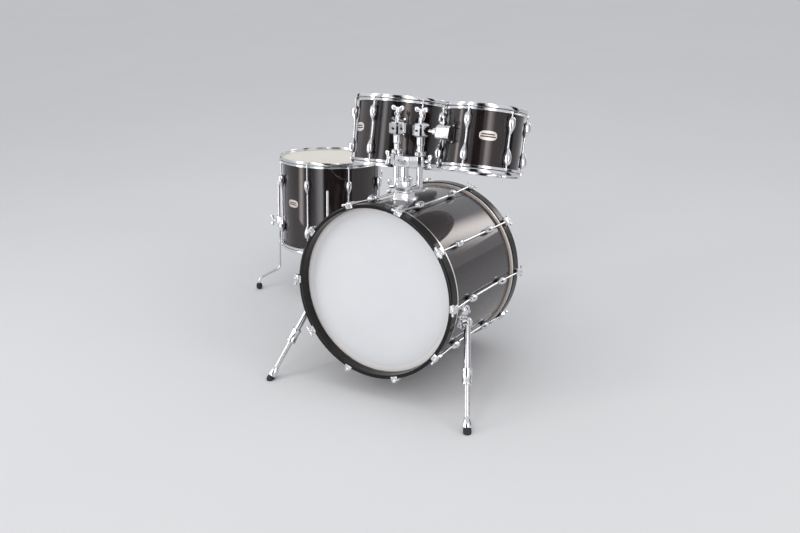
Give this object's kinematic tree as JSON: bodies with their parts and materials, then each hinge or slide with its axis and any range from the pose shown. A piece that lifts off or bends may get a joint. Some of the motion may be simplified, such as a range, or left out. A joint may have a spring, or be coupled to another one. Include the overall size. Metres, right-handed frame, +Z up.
{
  "type": "acoustic drum kit",
  "caption": "Acoustic drum kit: bass drum with folding spurs, rack toms on a double tube holder with ball clamps, and a floor tom on adjustable legs",
  "frame": {"origin": "on the floor, under the middle of the kit's bounding box", "axes": "+Z up, -Y towards the audience, +X to the right of someone facing the front head"},
  "size_m": [1.3208, 1.1112, 0.9327],
  "materials": {
    "lacquered_shell": "glossy very dark brown-black lacquer",
    "chrome": "polished",
    "black_hoop": "glossy black",
    "white_head": "smooth white film",
    "coated_head": "matt coated film",
    "clear_head": "translucent film",
    "satin_steel": "satin",
    "rubber": "matt black",
    "resin": "black resin over a steel rod"
  },
  "bodies": {
    "bass_drum": {"bass_shell": "lacquered_shell", "bass_front_head": "white_head", "bass_back_head": "clear_head", "bass_front_hoop": "black_hoop", "bass_back_hoop": "black_hoop", "holder_base": "chrome", "right_spur_bracket": "chrome", "left_spur_bracket": "chrome"},
    "base_wing": {"holder_base_wing": "chrome"},
    "post_lock": {"holder_post_lock": "chrome"},
    "post": {"holder_post": "chrome", "holder_receiver": "chrome"},
    "left_receiver_wing": {"left_receiver_wing": "chrome"},
    "left_arm_lock": {"left_arm_lock": "chrome"},
    "left_arm": {"left_arm": "chrome"},
    "left_clamp_wing": {"left_clamp_wing": "chrome"},
    "left_ball": {"left_ball_rod": "resin"},
    "left_tom": {"left_tom_shell": "lacquered_shell", "left_tom_top_head": "coated_head", "left_tom_bottom_head": "clear_head", "left_tom_top_hoop": "chrome", "left_tom_bottom_hoop": "chrome", "left_tom_mount": "chrome"},
    "left_mount_wing": {"left_mount_wing": "chrome"},
    "right_receiver_wing": {"right_receiver_wing": "chrome"},
    "right_arm_lock": {"right_arm_lock": "chrome"},
    "right_arm": {"right_arm": "chrome"},
    "right_clamp_wing": {"right_clamp_wing": "chrome"},
    "right_ball": {"right_ball_rod": "resin"},
    "right_tom": {"right_tom_shell": "lacquered_shell", "right_tom_top_head": "coated_head", "right_tom_bottom_head": "clear_head", "right_tom_top_hoop": "chrome", "right_tom_bottom_hoop": "chrome", "right_tom_mount": "chrome"},
    "right_mount_wing": {"right_mount_wing": "chrome"},
    "right_spur": {"right_spur_tube": "chrome"},
    "right_spur_foot": {"right_spur_leg": "satin_steel", "right_spur_tip": "rubber"},
    "left_spur": {"left_spur_tube": "chrome"},
    "left_spur_foot": {"left_spur_leg": "satin_steel", "left_spur_tip": "rubber"},
    "floor_tom": {"floor_tom_shell": "lacquered_shell", "floor_tom_top_head": "coated_head", "floor_tom_bottom_head": "clear_head", "floor_tom_top_hoop": "chrome", "floor_tom_bottom_hoop": "chrome", "floor_tom_leg_1_bracket": "chrome", "floor_tom_leg_2_bracket": "chrome", "floor_tom_leg_3_bracket": "chrome"},
    "floor_tom_leg_1": {"floor_tom_leg_1": "chrome", "floor_tom_leg_1_foot": "rubber"},
    "floor_tom_wing_1": {"floor_tom_leg_1_wing": "chrome"},
    "floor_tom_leg_2": {"floor_tom_leg_2": "chrome", "floor_tom_leg_2_foot": "rubber"},
    "floor_tom_wing_2": {"floor_tom_leg_2_wing": "chrome"},
    "floor_tom_leg_3": {"floor_tom_leg_3": "chrome", "floor_tom_leg_3_foot": "rubber"},
    "floor_tom_wing_3": {"floor_tom_leg_3_wing": "chrome"}
  },
  "joints": [
    {"name": "base_wing_turn", "type": "hinge", "parent": "bass_drum", "child": "base_wing", "pos_m": [0.24284, -0.22718, 0.65764], "axis": [-0.6018, -0.7906, 0.1132], "continuous": true},
    {"name": "post_swivel", "type": "hinge", "parent": "bass_drum", "child": "post_lock", "pos_m": [0.26288, -0.1976, 0.67664], "axis": [0, 0.1418, 0.9899], "range_deg": [-20, 20]},
    {"name": "post_height", "type": "slide", "parent": "post_lock", "child": "post", "axis": [0, 0.1418, 0.9899], "range_m": [0, 0.03]},
    {"name": "left_receiver_wing_turn", "type": "hinge", "parent": "post", "child": "left_receiver_wing", "pos_m": [0.20008, -0.16647, 0.73178], "axis": [-1, 0, 0], "continuous": true},
    {"name": "left_arm_swivel", "type": "hinge", "parent": "post", "child": "left_arm_lock", "pos_m": [0.21888, -0.16292, 0.75653], "axis": [0, 0.1418, 0.9899], "range_deg": [-3, 20]},
    {"name": "left_arm_height", "type": "slide", "parent": "left_arm_lock", "child": "left_arm", "axis": [0, 0.1418, 0.9899], "range_m": [0, 0.03]},
    {"name": "left_clamp_wing_turn", "type": "hinge", "parent": "left_arm", "child": "left_clamp_wing", "pos_m": [0.21888, -0.14591, 0.87532], "axis": [0, 0.1418, 0.9899], "continuous": true},
    {"name": "left_tom_tilt", "type": "hinge", "parent": "left_arm", "child": "left_ball", "pos_m": [0.21888, -0.15201, 0.83275], "axis": [1, 0, 0], "range_deg": [-2, 12]},
    {"name": "left_tom_reach", "type": "slide", "parent": "left_ball", "child": "left_tom", "axis": [-0.4733, 0.872, -0.1249], "range_m": [-0.003, 0.012]},
    {"name": "left_mount_wing_turn", "type": "hinge", "parent": "left_tom", "child": "left_mount_wing", "pos_m": [0.19711, -0.10835, 0.85176], "axis": [0, 0.1418, 0.9899], "continuous": true},
    {"name": "right_receiver_wing_turn", "type": "hinge", "parent": "post", "child": "right_receiver_wing", "pos_m": [0.32568, -0.16647, 0.73178], "axis": [1, 0, 0], "continuous": true},
    {"name": "right_arm_swivel", "type": "hinge", "parent": "post", "child": "right_arm_lock", "pos_m": [0.30688, -0.16292, 0.75653], "axis": [0, 0.1418, 0.9899], "range_deg": [-20, 3]},
    {"name": "right_arm_height", "type": "slide", "parent": "right_arm_lock", "child": "right_arm", "axis": [0, 0.1418, 0.9899], "range_m": [0, 0.03]},
    {"name": "right_clamp_wing_turn", "type": "hinge", "parent": "right_arm", "child": "right_clamp_wing", "pos_m": [0.30688, -0.14591, 0.87532], "axis": [0, 0.1418, 0.9899], "continuous": true},
    {"name": "right_tom_tilt", "type": "hinge", "parent": "right_arm", "child": "right_ball", "pos_m": [0.30688, -0.15201, 0.83275], "axis": [1, 0, 0], "range_deg": [-2, 12]},
    {"name": "right_tom_reach", "type": "slide", "parent": "right_ball", "child": "right_tom", "axis": [0.9893, -0.1445, 0.0207], "range_m": [-0.003, 0.012]},
    {"name": "right_mount_wing_turn", "type": "hinge", "parent": "right_tom", "child": "right_mount_wing", "pos_m": [0.39444, -0.16125, 0.85933], "axis": [0, 0.1418, 0.9899], "continuous": true},
    {"name": "right_spur_fold", "type": "hinge", "parent": "bass_drum", "child": "right_spur", "pos_m": [0.55388, -0.34128, 0.27293], "axis": [0.954, 0.0425, 0.2968], "range_deg": [0, 110]},
    {"name": "right_spur_length", "type": "slide", "parent": "right_spur", "child": "right_spur_foot", "axis": [0.2662, -0.5757, -0.7731], "range_m": [-0.05, 0.04]},
    {"name": "left_spur_fold", "type": "hinge", "parent": "bass_drum", "child": "left_spur", "pos_m": [-0.02812, -0.34128, 0.27293], "axis": [0.954, -0.0425, -0.2968], "range_deg": [0, 110]},
    {"name": "left_spur_length", "type": "slide", "parent": "left_spur", "child": "left_spur_foot", "axis": [-0.2662, -0.5757, -0.7731], "range_m": [-0.05, 0.04]},
    {"name": "floor_tom_away", "type": "slide", "parent": "bass_drum", "child": "floor_tom", "axis": [-1, 0, 0], "range_m": [0, 0.3]},
    {"name": "floor_tom_leg_1_height", "type": "slide", "parent": "floor_tom", "child": "floor_tom_leg_1", "axis": [0, 0.1418, 0.9899], "range_m": [-0.08, 0.04]},
    {"name": "floor_tom_wing_1_turn", "type": "hinge", "parent": "floor_tom", "child": "floor_tom_wing_1", "pos_m": [-0.59144, 0.15815, 0.28697], "axis": [-0.8616, -0.5024, 0.072], "continuous": true},
    {"name": "floor_tom_leg_2_height", "type": "slide", "parent": "floor_tom", "child": "floor_tom_leg_2", "axis": [0, 0.1418, 0.9899], "range_m": [-0.08, 0.04]},
    {"name": "floor_tom_wing_2_turn", "type": "hinge", "parent": "floor_tom", "child": "floor_tom_wing_2", "pos_m": [-0.27311, 0.07666, 0.29864], "axis": [0.5075, -0.8529, 0.1221], "continuous": true},
    {"name": "floor_tom_leg_3_height", "type": "slide", "parent": "floor_tom", "child": "floor_tom_leg_3", "axis": [0, 0.1418, 0.9899], "range_m": [-0.08, 0.04]},
    {"name": "floor_tom_wing_3_turn", "type": "hinge", "parent": "floor_tom", "child": "floor_tom_wing_3", "pos_m": [-0.3329, 0.49778, 0.23833], "axis": [0.2504, 0.9584, -0.1372], "continuous": true}
  ]
}
